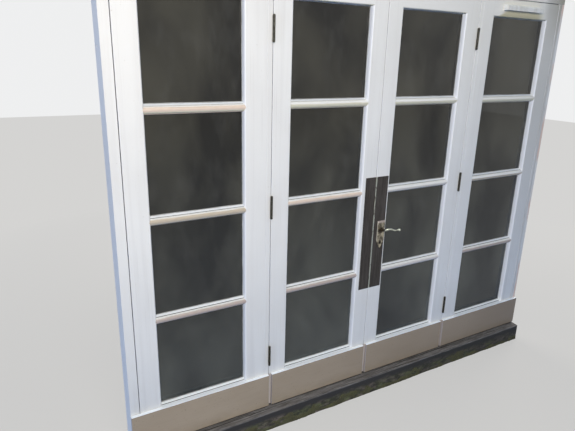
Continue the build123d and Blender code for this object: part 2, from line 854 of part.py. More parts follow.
def build_nodes():
    """Every node's name with its solids."""
    nodes = {}
    sill_shape = sill()
    head_shape = head()
    jamb = right_jamb(sill_shape, head_shape)
    mullion = right_mullion(sill_shape, head_shape)
    nodes["right_jamb"] = jamb
    nodes["left_jamb"] = mirrored_x(jamb)
    nodes["right_mullion"] = mullion
    nodes["left_mullion"] = mirrored_x(mullion)
    nodes["sill"] = sill_shape - bolt_socket(upstand_top)
    nodes["head"] = head_shape - bolt_socket(stop_soffit)
    nodes["bolt_keeps"] = [keep(stop_soffit, -1), keep(upstand_top, 1)]

    leaves = {
        "left_light": leaf(
            -light_outer_x, -mullion_outer_x, light_outer_stile, left_light_inner_stile,
            left_light_drop,
        ),
        "left_door": leaf(
            -mullion_inner_x + leaf_gap, -meeting_edge_x, door_hinge_stile, door_meeting_stile,
        ),
        "right_door": leaf(
            meeting_edge_x, mullion_inner_x - leaf_gap, door_meeting_stile, door_hinge_stile,
        ),
        "right_light": leaf(
            mullion_outer_x, light_outer_x, right_light_inner_stile, light_outer_stile,
            right_light_drop,
        ),
    }
    stile_names = {
        "left_light": ("outer_stile", "inner_stile"),
        "left_door": ("hinge_stile", "meeting_stile"),
        "right_door": ("meeting_stile", "hinge_stile"),
        "right_light": ("inner_stile", "outer_stile"),
    }
    for name, pieces in leaves.items():
        left_name, right_name = stile_names[name]
        nodes[f"{name}_{left_name}"] = pieces["left_stile"]
        nodes[f"{name}_{right_name}"] = pieces["right_stile"]
        nodes[f"{name}_top_rail"] = pieces["top_rail"]
        nodes[f"{name}_bottom_rail"] = pieces["bottom_rail"]
        nodes[f"{name}_bars"] = pieces["bars"]
    for kind in ("panes", "beads"):
        nodes[f"side_light_{kind}"] = leaves["left_light"][kind] + leaves["right_light"][kind]
        for name in ("left_door", "right_door"):
            nodes[f"{name}_{kind}"] = leaves[name][kind]

    door_outer = mullion_inner_x - leaf_gap
    nodes["left_light_weatherboard"] = weatherboard(
        (-jamb_outer_x, -mullion_inner_x - light_board_setback)
    )
    nodes["left_door_weatherboard"] = weatherboard(
        (-door_outer + board_hinge_setback, -meeting_edge_x - board_meeting_setback_left)
    )
    nodes["right_door_weatherboard"] = weatherboard(
        (meeting_edge_x + board_meeting_setback_right, door_outer - board_hinge_setback_right)
    )
    nodes["right_light_weatherboard"] = weatherboard((mullion_inner_x, jamb_outer_x))

    mullion_leaves = [hinge_half(z, 1) for z in hinge_centres]
    door_leaves = [hinge_half(z, -1) for z in hinge_centres]
    pins = [hinge_pin(z) for z in hinge_centres]
    nodes["mullion_hinge_leaves"] = mullion_leaves + [mirrored_x(one) for one in mullion_leaves]
    nodes["hinge_pins"] = pins + [mirrored_x(one) for one in pins]
    nodes["right_door_hinge_leaves"] = door_leaves
    nodes["left_door_hinge_leaves"] = [mirrored_x(one) for one in door_leaves]
    for z in hinge_centres:
        nodes["right_door_hinge_stile"] -= hinge_plate(z, -1)
        nodes["left_door_hinge_stile"] -= mirrored_x(hinge_plate(z, -1))

    strip_y = (-strip_proud, strip_depth)
    strip_z = (leaf_bottom + strip_lift, leaf_bottom + strip_lift + strip_length)
    left_strip = block((-meeting_edge_x - left_strip_width, -meeting_edge_x), strip_y, strip_z)
    right_start = meeting_edge_x + right_strip_inset
    right_strip = block((right_start, right_start + right_strip_width), strip_y, strip_z)
    nodes["left_door_meeting_stile"] -= left_strip
    nodes["right_door_meeting_stile"] -= right_strip + lock_mortice()
    right_strip -= lock_mortice()
    room_screws = []
    outer_screws = []
    for x, z in plate_screw_places():
        outer_screws.append(plate_screw(x, z, -strip_proud))
        room_screws.append(to_room_side(plate_screw(x, z, 0)))
        outer_hole = screw_hole(x, z, -strip_proud)
        right_strip -= outer_hole
        nodes["right_door_meeting_stile"] -= outer_hole + to_room_side(screw_hole(x, z, 0))
    nodes["left_lock_strip"] = left_strip
    nodes["right_lock_strip"] = right_strip

    square = spindle()
    nodes["spindle"] = square
    nodes["outside_plate"] = handle_plate(-strip_proud)
    nodes["inside_plate"] = to_room_side(handle_plate(0))
    nodes["plate_screws"] = outer_screws + room_screws
    nodes["outside_lever"] = lever(-strip_proud) - square
    nodes["inside_lever"] = to_room_side(lever(0)) - square
    nodes["lock_case"] = lock_case()
    nodes["lock_forend"] = forend()
    nodes["latch_bolt"] = latch_bolt()
    nodes["dead_bolt"] = dead_bolt()
    nodes["strike_plate"] = strike_blank() - strike_openings(strike_thickness + 1)
    nodes["left_door_meeting_stile"] -= strike_blank() + strike_openings(strike_pocket_depth)

    top_tip = stop_soffit - keep_thickness - bolt_head_room
    bottom_tip = upstand_top + keep_thickness + bolt_head_room
    top_rod, top_plate = barrel_bolt(top_tip, 1)
    bottom_rod, bottom_plate = barrel_bolt(bottom_tip, -1)
    nodes["top_bolt"] = top_rod
    nodes["bottom_bolt"] = bottom_rod
    nodes["bolt_plates"] = [top_plate, bottom_plate]

    nodes["right_light_top_rail"] -= vent_slot()
    nodes["vent_hood"] = vent_hood()
    nodes["vent_base"] = vent_base()
    nodes["vent_flap"] = vent_flap()
    return nodes


def solids_of(shape):
    """The separate solids of a piece or of a list of pieces."""
    pieces = shape if isinstance(shape, list) else [shape]
    return [solid for piece in pieces for solid in piece.solids()]


os.makedirs("parts", exist_ok=True)
for node_name, node_shape in build_nodes().items():
    solids = solids_of(node_shape)
    whole = solids[0] if len(solids) == 1 else Compound(children=solids)
    export_step(whole, f"parts/{node_name}.step")
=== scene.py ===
import json
import math
import bpy
import numpy as np
from mathutils import Matrix, Vector


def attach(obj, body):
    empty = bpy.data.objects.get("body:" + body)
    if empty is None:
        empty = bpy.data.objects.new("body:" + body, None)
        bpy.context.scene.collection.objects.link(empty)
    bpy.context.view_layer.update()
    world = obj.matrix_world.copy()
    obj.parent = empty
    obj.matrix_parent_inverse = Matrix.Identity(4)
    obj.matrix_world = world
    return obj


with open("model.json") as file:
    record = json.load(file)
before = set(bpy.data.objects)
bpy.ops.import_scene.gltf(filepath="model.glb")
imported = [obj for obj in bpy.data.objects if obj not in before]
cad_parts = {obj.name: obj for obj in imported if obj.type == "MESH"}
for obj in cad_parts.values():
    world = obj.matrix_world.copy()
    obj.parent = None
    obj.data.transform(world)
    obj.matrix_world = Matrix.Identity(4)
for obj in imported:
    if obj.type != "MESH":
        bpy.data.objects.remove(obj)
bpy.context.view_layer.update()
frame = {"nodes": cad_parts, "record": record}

nodes = frame["nodes"]
scene = bpy.context.scene
scene.view_settings.view_transform = "Standard"

# Camera, in metres and radians
camera_place = (-1.5964, -1.9020, 1.7722)
camera_pitch = 0.303789
camera_yaw = 0.523437
camera_roll = 0.023833
camera_lens = 31.894
sensor_width = 36.0

# Sockets of a Mix node that is set to colours
mix_first = 6
mix_second = 7
mix_result = 2

# The object's places, in metres
frame_end = 1.2505
sill_top = 0.104
sill_reach = 0.056
sill_fall = 0.0055
sill_nose = 0.004
glass_face = 0.026
sight_foot = 0.292
pane_height = 0.396
pane_pitch = 0.434
pane_courses = 4
leaf_sights = (
    (-1.1145, -0.7095, 0.0035, "frame"),
    (-0.4915, -0.0865, 0.0, "left_door"),
    (0.0865, 0.4915, 0.0, "right_door"),
    (0.6925, 1.1145, 0.002, "frame"),
)
leaf_middle = 0.0216
spindle_x = 0.0525
spindle_z = 0.936
key_z = 0.87

# Lamps: name, place and aim in metres, width and height in metres, power in watts, colour
lamps = (
    ("key", (-1.5, -2.5, 2.3), (0.1, 0.0, 1.1), (1.9, 1.0), 77.0, (1.0, 0.91, 0.78)),
    ("sky", (0.0, -1.3, 4.6), (0.0, -0.2, 0.0), (4.4, 2.0), 33.0, (0.86, 0.92, 0.98)),
    ("side", (-8.0, -1.7, 1.7), (0.6, 0.0, 1.1), (1.6, 2.4), 112.0, (0.7, 0.8, 1.0)),
    ("back", (0.6, 3.6, 2.4), (0.0, 0.0, 1.0), (2.4, 1.6), 95.0, (1.0, 0.93, 0.83)),
    ("right", (6.0, 2.4, 2.3), (1.1, 0.0, 1.0), (2.4, 2.0), 190.0, (1.0, 0.93, 0.84)),
)
lamps_behind = ("back", "right")


def add_camera():
    """A camera that looks along +Y, turned right by the yaw, down by the pitch, then rolled."""
    ahead = Vector((
        math.sin(camera_yaw) * math.cos(camera_pitch),
        math.cos(camera_yaw) * math.cos(camera_pitch),
        -math.sin(camera_pitch),
    ))
    level = Vector((math.cos(camera_yaw), -math.sin(camera_yaw), 0.0))
    up = level.cross(ahead)
    right = level * math.cos(camera_roll) + up * math.sin(camera_roll)
    top = up * math.cos(camera_roll) - level * math.sin(camera_roll)
    turn = Matrix((right, top, -ahead)).transposed()
    data = bpy.data.cameras.new("camera")
    data.sensor_fit = "HORIZONTAL"
    data.sensor_width = sensor_width
    data.lens = camera_lens
    data.clip_start = 0.05
    data.clip_end = 100.0
    camera = bpy.data.objects.new("camera", data)
    camera.matrix_world = Matrix.Translation(camera_place) @ turn.to_4x4()
    scene.collection.objects.link(camera)
    scene.camera = camera


class Finish:
    """A procedural material whose patterns are read in object coordinates, in metres."""

    def __init__(self, name, colour=(0.5, 0.5, 0.5), roughness=0.5, **values):
        """Starts from one even colour and roughness, with other inputs of the shader set by name."""
        self.material = bpy.data.materials.new(name)
        self.material.use_nodes = True
        self.tree = self.material.node_tree
        self.shader = self.tree.nodes["Principled BSDF"]
        self.shader.inputs["Base Color"].default_value = (*colour, 1.0)
        self.shader.inputs["Roughness"].default_value = roughness
        for socket, value in values.items():
            self.shader.inputs[socket.replace("_", " ")].default_value = value
        coordinates = self.tree.nodes.new("ShaderNodeTexCoord")
        self.place = coordinates.outputs["Object"]
        self.facing = coordinates.outputs["Normal"]

    def node(self, kind, inputs=(), **settings):
        """Adds a node, sets its properties, and links or sets its inputs by name or number."""
        made = self.tree.nodes.new(kind)
        for key, value in settings.items():
            setattr(made, key, value)
        for key, value in dict(inputs).items():
            if isinstance(value, bpy.types.NodeSocket):
                self.tree.links.new(value, made.inputs[key])
            else:
                made.inputs[key].default_value = value
        return made

    def noise(self, scale, detail=3.0, roughness=0.5, shift=0.0, distortion=0.0):
        """Noise from 0 to 1, with its own scale along X, Y and Z in cycles per metre."""
        moved = {"Vector": self.place, "Scale": scale, "Location": (shift, shift, shift)}
        mapping = self.node("ShaderNodeMapping", moved)
        inputs = {
            "Vector": mapping.outputs[0], "Scale": 1.0, "Detail": detail,
            "Roughness": roughness, "Distortion": distortion,
        }
        return self.node("ShaderNodeTexNoise", inputs).outputs["Fac"]

    def axis(self, letter):
        """The place along an axis, in metres."""
        return self.node("ShaderNodeSeparateXYZ", {0: self.place}).outputs[letter]

    def facing_along(self, letter):
        """How far the surface faces along an axis, from -1 to 1."""
        return self.node("ShaderNodeSeparateXYZ", {0: self.facing}).outputs[letter]

    def math(self, operation, first, second=0.0):
        """One arithmetic step on numbers or sockets."""
        return self.node("ShaderNodeMath", {0: first, 1: second}, operation=operation).outputs[0]

    def band(self, value, low, high):
        """0 below low, 1 above high, straight between them."""
        inputs = {"Value": value, "From Min": low, "From Max": high}
        return self.node("ShaderNodeMapRange", inputs, clamp=True).outputs["Result"]

    def times(self, first, second):
        """The product, which is 1 only where both shares are."""
        return self.math("MULTIPLY", first, second)

    def zone(self, **limits):
        """1 past the second limit on each named axis, 0 before the first, straight between."""
        share = None
        for letter, (low, high) in limits.items():
            part = self.band(self.axis(letter), low, high)
            share = part if share is None else self.times(share, part)
        return share

    def outside(self):
        """1 on the weather side of the frame and the leaves, 0 on the room side."""
        return self.zone(Y=(0.04, 0.03))

    def spread(self, value, low, high):
        """Carries 0 to 1 over to low to high."""
        inputs = {"Value": value, "To Min": low, "To Max": high}
        return self.node("ShaderNodeMapRange", inputs, clamp=False).outputs["Result"]

    def corners(self, distance):
        """1 in tight inner corners, 0 in the open, judged over the distance in metres."""
        occlusion = self.node("ShaderNodeAmbientOcclusion", {"Distance": distance}, samples=6)
        return self.band(occlusion.outputs["AO"], 0.6, 0.22)

    def mix(self, share, first, second):
        """The first colour, going over to the second as the share goes from 0 to 1."""
        inputs = {0: share}
        for socket, colour in ((mix_first, first), (mix_second, second)):
            inputs[socket] = (*colour, 1.0) if isinstance(colour, tuple) else colour
        return self.node("ShaderNodeMix", inputs, data_type="RGBA").outputs[mix_result]

    def over(self, below, share, amount, colour):
        """Lays a colour over the one below, where the share says and at most by the amount."""
        return self.mix(self.times(share, amount), below, colour)

    def bump(self, height, strength, distance, below=None):
        """The normal bent by a height over a distance in metres, on top of the normal below."""
        inputs = {"Height": height, "Strength": strength, "Distance": distance}
        if below is not None:
            inputs["Normal"] = below
        return self.node("ShaderNodeBump", inputs).outputs["Normal"]

    def send(self, **sockets):
        """Links patterns to the shader's inputs, and gives back the material."""
        for key, value in sockets.items():
            self.tree.links.new(value, self.shader.inputs[key.replace("_", " ")])
        return self.material


def along(direction, across, length):
    """Pattern scale that is fine across a member and long down it."""
    return tuple(length if letter == direction else across for letter in "XYZ")


def old_gloss(finish, direction):
    """Colour of old white gloss: faint patches, runs along the grain, specks, grime with painted
    shade in corners, and painted shade in runs towards the foot.

    Outside it is warmer towards the upper right, with painted shade at the right end. Sides that
    face left are paler, as painted light.
    """
    runs = finish.noise(along(direction, 26.0, 0.8), detail=5.0, shift=9.0, distortion=0.3)
    streaks = finish.noise(along(direction, 150.0, 2.2), detail=4.0, shift=5.0)
    patches = finish.noise((2.4, 2.4, 2.4), detail=4.0, shift=7.0)
    specks = finish.noise((130.0, 130.0, 130.0), detail=3.0, shift=11.0)
    paint = finish.mix(finish.band(patches, 0.35, 0.65), (0.77, 0.772, 0.75), (0.825, 0.828, 0.806))
    paint = finish.over(paint, finish.band(runs, 0.5, 0.75), 0.5, (0.7, 0.695, 0.675))
    paint = finish.over(paint, finish.band(streaks, 0.58, 0.72), 0.35, (0.62, 0.61, 0.585))
    paint = finish.over(paint, finish.band(specks, 0.68, 0.76), 0.55, (0.42, 0.39, 0.34))
    # Greyer in runs towards the foot: painted shade.
    foot = finish.times(finish.zone(Z=(0.75, 0.12)), finish.band(runs, 0.35, 0.7))
    paint = finish.over(paint, foot, 0.3, (0.6, 0.59, 0.57))
    outside = finish.outside()
    # Warmer towards the upper right, on the outside.
    warmer_upper_right = finish.zone(X=(-0.3, 0.8), Z=(1.1, 2.0))
    paint = finish.over(paint, finish.times(warmer_upper_right, outside), 0.6, (0.84, 0.805, 0.7))
    # Painted shade down the right stile, and darker painted shade at the top of the right end.
    painted_right_shade = finish.zone(X=(1.08, 1.13), Z=(0.3, 1.5))
    paint = finish.over(paint, finish.times(painted_right_shade, outside), 0.55, (0.5, 0.49, 0.45))
    painted_shade_share = finish.zone(X=(1.08, 1.24), Z=(1.84, 2.1))
    paint = finish.over(paint, finish.times(painted_shade_share, outside), 0.85, (0.31, 0.285, 0.21))
    # Sides that face left are painted paler and bluer: painted light.
    painted_lit_side = finish.band(finish.facing_along("X"), -0.35, -0.75)
    paint = finish.over(paint, painted_lit_side, 0.8, (0.86, 0.88, 0.92))
    # Grime with painted shade in inner corners, less on the painted lit sides.
    corners = finish.times(finish.corners(0.009), finish.band(streaks, 0.2, 0.75))
    corners = finish.times(corners, finish.spread(painted_lit_side, 0.8, 0.4))
    return finish.mix(corners, paint, (0.3, 0.27, 0.22))


def brushed(finish, direction):
    """Normal of gloss paint with brush marks over raised grain."""
    brush = finish.noise(along(direction, 420.0, 6.0), detail=4.0)
    grain = finish.noise(along(direction, 80.0, 1.4), detail=5.0, shift=3.0, distortion=0.4)
    finish.send(Roughness=finish.spread(brush, 0.3, 0.5))
    return finish.bump(brush, 0.3, 0.0002, finish.bump(grain, 0.35, 0.0008))


def white_paint(name, direction, behind_boards=False):
    """Old white gloss over softwood, with a dull cream on the strips left bare between the boards,
    painted paler there as painted light.
    """
    finish = Finish(name, Specular_IOR_Level=0.35)
    paint = old_gloss(finish, direction)
    if behind_boards:
        paint = cream_foot_with_painted_light(finish, paint)
    return finish.send(Base_Color=paint, Normal=brushed(finish, direction))


def cream_foot_with_painted_light(finish, paint):
    """The paint turns a dull cream below the top of the boards, on the outside, painted paler than
    the paint as painted light in the shaded gaps between the boards.
    """
    low = finish.zone(Z=(0.2812, 0.279), Y=(0.02, 0.012))
    stain = finish.noise((30.0, 30.0, 8.0), detail=4.0, shift=27.0)
    # The cream tones are painted light: paler than the paint, to offset the shaded gaps.
    return finish.mix(low, paint, finish.mix(stain, (0.53, 0.485, 0.46), (0.69, 0.65, 0.62)))


def flaking_paint():
    """White gloss on the right jamb, streaked, with pinkish primer and bare flakes at its end.

    The primer and the flakes are on the face towards the weather alone.
    """
    finish = Finish("flaking_paint", Specular_IOR_Level=0.3)
    lines = finish.noise((75.0, 75.0, 1.6), detail=5.0, roughness=0.6, shift=35.0)
    flakes = finish.noise((60.0, 60.0, 19.0), detail=6.0, roughness=0.65, shift=21.0)
    stretches = finish.noise((3.4, 3.4, 3.4), detail=3.0, shift=29.0)
    across = finish.axis("X")
    primer_edge = (1.225, 1.236)
    bare_edge = (1.236, 1.2505)
    streaks = finish.band(lines, 0.46, 0.62)
    worn = finish.over(old_gloss(finish, "Z"), streaks, 0.5, (0.42, 0.41, 0.37))
    outer_side = finish.band(finish.facing_along("X"), 0.5, 0.9)
    outside = finish.outside()
    reach = finish.math("SUBTRACT", finish.band(across, *primer_edge), outer_side)
    primer = finish.band(finish.math("ADD", flakes, finish.spread(reach, -0.5, 0.16)), 0.46, 0.52)
    tone = finish.mix(finish.band(stretches, 0.44, 0.56), (0.8, 0.79, 0.75), (0.84, 0.63, 0.52))
    aged = finish.over(worn, finish.times(primer, outside), 0.85, tone)
    far = finish.math("SUBTRACT", finish.band(across, *bare_edge), outer_side)
    bare = finish.band(finish.math("ADD", flakes, finish.spread(far, -0.4, -0.05)), 0.56, 0.59)
    bare = finish.times(bare, outside)
    grain = finish.noise((240.0, 240.0, 5.0), detail=4.0, shift=2.0)
    timber = finish.mix(grain, (0.16, 0.13, 0.1), (0.34, 0.28, 0.22))
    lifted = finish.bump(finish.math("SUBTRACT", 1.0, bare), 0.6, 0.0006, brushed(finish, "Z"))
    return finish.send(Base_Color=finish.mix(bare, aged, timber), Normal=lifted)


def chipped_arris_paint():
    """White gloss on the right meeting stile, dull grey-green and chipped beside the strip."""
    finish = Finish("chipped_arris_paint", Specular_IOR_Level=0.35)
    height = finish.axis("Z")
    border_foot, border_top, border_side = (0.6165, 0.6195), (1.2155, 1.2125), (0.0105, 0.0095)
    border = finish.times(finish.band(height, *border_foot), finish.band(height, *border_top))
    border = finish.times(border, finish.zone(X=border_side))
    chips = finish.noise((240.0, 240.0, 34.0), detail=5.0, roughness=0.6, shift=31.0)
    worn = finish.times(finish.band(height, 0.9, 1.04), finish.band(height, 1.2, 1.1))
    bare = finish.band(finish.math("ADD", chips, finish.spread(worn, 0.0, 0.08)), 0.585, 0.61)
    dull = finish.mix(chips, (0.27, 0.29, 0.24), (0.46, 0.48, 0.42))
    dull = finish.mix(bare, dull, (0.075, 0.06, 0.048))
    return finish.send(
        Base_Color=finish.mix(border, cream_foot_with_painted_light(finish, old_gloss(finish, "Z")), dull),
        Normal=brushed(finish, "Z"),
    )


def bar_paint():
    """White gloss on the glazing bars, with grime and painted shade on the nose, a painted shadow in
    the quirk, and painted light on the ledges.

    On the nose the grime and painted shade lie where the upward part of the surface's direction is
    under a limit that grows towards the ground and is larger on the left light and the left door,
    with a soft wavering edge. They are thinner on the right door's lower bars. Ledges that face up
    are painted a paler bluish white: painted light from above.
    """
    finish = Finish("bar_paint", Specular_IOR_Level=0.35)
    upward = finish.facing_along("Z")
    height = finish.axis("Z")
    depth = finish.axis("Y")
    waver = finish.spread(finish.noise((9.0, 60.0, 60.0), detail=5.0, shift=13.0), -0.25, 0.25)
    nose_depths, ledge_depths = (0.0134, 0.0122), (0.0125, 0.0145)
    groove_front, groove_back = (0.0119, 0.0125), (0.0152, 0.0146)
    leftmost = finish.zone(X=(-0.5, -0.65))
    top_bar = finish.band(height, 1.4, 1.5)
    left_door = finish.times(finish.zone(X=(-0.6, -0.55)), finish.zone(X=(0.05, 0.0)))
    limit = finish.math("SUBTRACT", finish.spread(leftmost, 1.2, 2.3), height)
    limit = finish.math("ADD", limit, finish.spread(left_door, 0.0, 0.6))
    limit = finish.math("MAXIMUM", limit, finish.spread(top_bar, -1.0, 0.12))
    limit = finish.math("MINIMUM", limit, 0.7)
    # Grime and painted shade on the nose: the limit on the way the surface faces sets a shading
    # edge.
    inside = finish.math("ADD", finish.math("SUBTRACT", limit, upward), waver)
    nose = finish.band(depth, *nose_depths)
    amount = finish.times(nose, finish.band(inside, -0.12, 0.16))
    # Thinner grime and painted shade on the right door's lower bars.
    thinner_on_right_door = finish.times(finish.zone(X=(0.0, 0.05)), finish.zone(X=(0.6, 0.5)))
    thinner_on_right_door = finish.times(thinner_on_right_door, finish.band(height, 1.5, 1.4))
    amount = finish.times(amount, finish.spread(thinner_on_right_door, 0.95, 0.4))
    mottle = finish.noise((34.0, 190.0, 190.0), detail=5.0, shift=17.0)
    peach = finish.mix(mottle, (0.6, 0.47, 0.36), (0.78, 0.66, 0.56))
    olive = finish.mix(mottle, (0.55, 0.53, 0.38), (0.72, 0.7, 0.56))
    middle = finish.mix(mottle, (0.4, 0.34, 0.25), (0.58, 0.5, 0.39))
    lower = finish.mix(mottle, (0.38, 0.31, 0.26), (0.55, 0.46, 0.42))
    upper = finish.mix(leftmost, olive, peach)
    middle = finish.mix(left_door, middle, peach)
    grime = finish.mix(finish.band(height, 1.2, 1.5), middle, upper)
    grime = finish.mix(finish.band(height, 1.05, 0.8), grime, lower)
    # Faces that point down get an olive-brown painted shade.
    painted_underside_shade = finish.mix(finish.band(height, 0.75, 1.5), (0.56, 0.49, 0.43), (0.74, 0.7, 0.5))
    grime = finish.mix(finish.band(upward, -0.3, -0.65), grime, painted_underside_shade)
    scratch = finish.noise((3.0, 900.0, 900.0), detail=3.0, shift=23.0)
    grime = finish.over(grime, finish.band(scratch, 0.6, 0.68), 0.55, (0.22, 0.18, 0.14))
    low_rail = finish.band(height, 0.45, 0.4)
    # Ledges that face up are painted a paler bluish white: painted light from above.
    ledge = finish.math("MAXIMUM", finish.band(depth, *ledge_depths), low_rail)
    ledge = finish.times(finish.band(upward, 0.6, 0.9), ledge)
    painted_sky_light_tone = finish.mix(low_rail, (0.83, 0.87, 0.93), (0.88, 0.93, 0.98))
    paint = finish.over(old_gloss(finish, "X"), ledge, 0.8, painted_sky_light_tone)
    paint = finish.mix(amount, paint, grime)
    # The quirk under the nose is painted dark, more so on the lower bars: a painted shadow.
    groove = finish.times(finish.band(depth, *groove_front), finish.band(depth, *groove_back))
    groove = finish.times(groove, finish.band(upward, -0.5, -0.2))
    share = finish.spread(finish.band(height, 1.6, 0.9), 0.5, 0.97)
    painted_quirk_shadow = finish.mix(finish.band(height, 1.2, 1.5), (0.035, 0.033, 0.04), (0.2, 0.15, 0.12))
    paint = finish.over(paint, groove, share, painted_quirk_shadow)
    return finish.send(Base_Color=paint, Normal=brushed(finish, "X"))


def top_rail_paint():
    """White gloss on the top rails, with an olive painted shade in patches on the undersides.

    A painted shadow of the vent's hood on the right light's rail starts at a slanted line, where X
    less 2.2 times Z passes a limit.
    """
    finish = Finish("top_rail_paint", Specular_IOR_Level=0.35)
    upward = finish.facing_along("Z")
    painted_underside_shade = finish.band(upward, -0.1, -0.7)
    painted_shade_share = finish.band(finish.noise((14.0, 14.0, 60.0), detail=5.0, shift=19.0), 0.2, 0.7)
    # Olive painted shade on the undersides, in patches.
    paint = finish.over(old_gloss(finish, "X"), painted_underside_shade, painted_shade_share, (0.52, 0.5, 0.36))
    across = finish.axis("X")
    height = finish.axis("Z")
    # A painted shadow cast by the vent's hood; the stain mask below carries it.
    hood_shadow_start, hood_shadow_end, hood_shadow_top = (-3.67, -3.638), (1.1, 1.04), (2.023, 2.018)
    slanted = finish.math("SUBTRACT", across, finish.times(height, 2.2))
    beside = finish.times(finish.band(slanted, *hood_shadow_start), finish.band(across, *hood_shadow_end))
    stain = finish.times(beside, finish.band(height, *hood_shadow_top))
    hood_shadow_tone = finish.mix(finish.band(height, 1.99, 2.015), (0.47, 0.43, 0.26), (0.68, 0.63, 0.4))
    paint = finish.over(paint, stain, 0.85, hood_shadow_tone)
    return finish.send(Base_Color=paint, Normal=brushed(finish, "X"))


def tan_paint():
    """Flat tan paint on the boards, chalked in patches and darker towards the right as painted
    shade, with a white top edge over a dark line; the top's bluish tint is painted light from above.

    The ends that face left are a paler mauve as painted light, with little of the grime and painted
    shade that lies in corners.
    """
    finish = Finish("tan_paint", roughness=0.55, Specular_IOR_Level=0.3)
    brush = finish.noise(along("X", 300.0, 5.0), detail=4.0)
    chalk = finish.noise((2.2, 2.2, 5.0), detail=5.0, shift=2.0)
    specks = finish.noise((110.0, 110.0, 110.0), detail=3.0, shift=5.0)
    splash = finish.noise((16.0, 16.0, 30.0), detail=5.0, shift=8.0)
    height = finish.axis("Z")
    base = finish.mix(finish.band(chalk, 0.35, 0.68), (0.4, 0.32, 0.228), (0.465, 0.377, 0.276))
    base = finish.over(base, finish.band(brush, 0.5, 0.8), 0.3, (0.33, 0.268, 0.19))
    # Darker towards the right: painted shade.
    base = finish.over(base, finish.zone(X=(-0.9, 1.3)), 0.62, (0.235, 0.185, 0.14))
    low = finish.times(finish.band(height, 0.17, 0.107), finish.band(splash, 0.35, 0.7))
    base = finish.over(base, low, 0.45, (0.26, 0.22, 0.17))
    base = finish.over(base, finish.band(specks, 0.66, 0.75), 0.5, (0.2, 0.165, 0.12))
    line_foot, line_top, white_foot = (0.2778, 0.2792), (0.2812, 0.2804), (0.2808, 0.2816)
    line = finish.times(finish.band(height, *line_foot), finish.band(height, *line_top))
    base = finish.over(base, line, 0.6, (0.16, 0.14, 0.15))
    uneven = finish.math("ADD", height, finish.spread(splash, -0.0006, 0.0006))
    top = finish.band(uneven, *white_foot)
    # White paint on the top edge, tinted bluish as painted light from above.
    base = finish.mix(top, base, (0.9, 0.94, 0.98))
    # Ends that face left are painted a paler mauve: painted light.
    end = finish.band(finish.facing_along("X"), -0.5, -0.9)
    base = finish.mix(end, base, (0.53, 0.48, 0.46))
    # Grime with painted shade in inner corners, less on the painted lit ends and top.
    share = finish.spread(finish.math("MAXIMUM", end, finish.times(top, 0.6)), 0.7, 0.1)
    base = finish.over(base, finish.corners(0.01), share, (0.13, 0.11, 0.08))
    return finish.send(Base_Color=base, Normal=finish.bump(brush, 0.3, 0.0003))


def weathered_timber():
    """Bare silvered timber with dark cracks along it, dark under the nose, olive and brown below."""
    finish = Finish("weathered_timber", roughness=0.85, Specular_IOR_Level=0.2)
    grain = finish.noise(along("X", 210.0, 5.0), detail=6.0, distortion=0.6)
    fibres = finish.noise(along("X", 420.0, 16.0), detail=4.0, shift=25.0)
    cracks = finish.noise(along("X", 90.0, 1.4), detail=4.0, shift=4.0)
    moss = finish.noise((24.0, 40.0, 46.0), detail=7.0, roughness=0.68, shift=8.0)
    patch = finish.noise((9.0, 26.0, 26.0), detail=5.0, roughness=0.6, shift=15.0)
    height = finish.axis("Z")
    timber = finish.mix(finish.band(grain, 0.3, 0.7), (0.06, 0.055, 0.052), (0.2, 0.19, 0.185))
    timber = finish.over(timber, finish.band(fibres, 0.54, 0.64), 0.6, (0.31, 0.3, 0.29))
    timber = finish.over(timber, finish.band(patch, 0.5, 0.62), 0.5, (0.075, 0.066, 0.058))
    timber = finish.mix(finish.band(cracks, 0.59, 0.64), timber, (0.02, 0.017, 0.014))
    brown = finish.mix(finish.band(moss, 0.42, 0.58), (0.05, 0.046, 0.036), (0.17, 0.14, 0.11))
    olive = finish.mix(finish.band(moss, 0.42, 0.6), (0.055, 0.056, 0.034), (0.15, 0.155, 0.075))
    foot = finish.mix(finish.band(patch, 0.44, 0.56), brown, olive)
    border = finish.math("ADD", height, finish.spread(patch, -0.02, 0.02))
    front = finish.mix(finish.band(border, 0.072, 0.045), (0.045, 0.043, 0.042), foot)
    # Darker towards the right: painted shade.
    front = finish.over(front, finish.zone(X=(-0.1, 0.6)), 0.5, (0.036, 0.037, 0.033))
    outside = finish.zone(Y=(-0.02, -0.045))
    front_top = (0.0965, 0.0915)
    timber = finish.over(timber, finish.band(height, *front_top), outside, front)
    # Grime with painted shade in inner corners.
    timber = finish.over(timber, finish.corners(0.02), 0.75, (0.018, 0.015, 0.012))
    rough_grain = finish.bump(grain, 0.8, 0.002)
    return finish.send(Base_Color=timber, Normal=finish.bump(moss, 0.6, 0.004, rough_grain))


def moss_cover():
    """Short dense moss, olive with brown tips."""
    finish = Finish("moss_cover", roughness=0.95, Specular_IOR_Level=0.1)
    tufts = finish.noise((420.0, 420.0, 420.0), detail=4.0, roughness=0.7)
    patches = finish.noise((22.0, 22.0, 22.0), detail=4.0, shift=3.0)
    green = finish.mix(finish.band(patches, 0.35, 0.65), (0.058, 0.052, 0.034), (0.1, 0.1, 0.045))
    colour = finish.mix(finish.band(tufts, 0.4, 0.7), green, (0.17, 0.155, 0.085))
    return finish.send(Base_Color=colour, Normal=finish.bump(tufts, 1.0, 0.003))


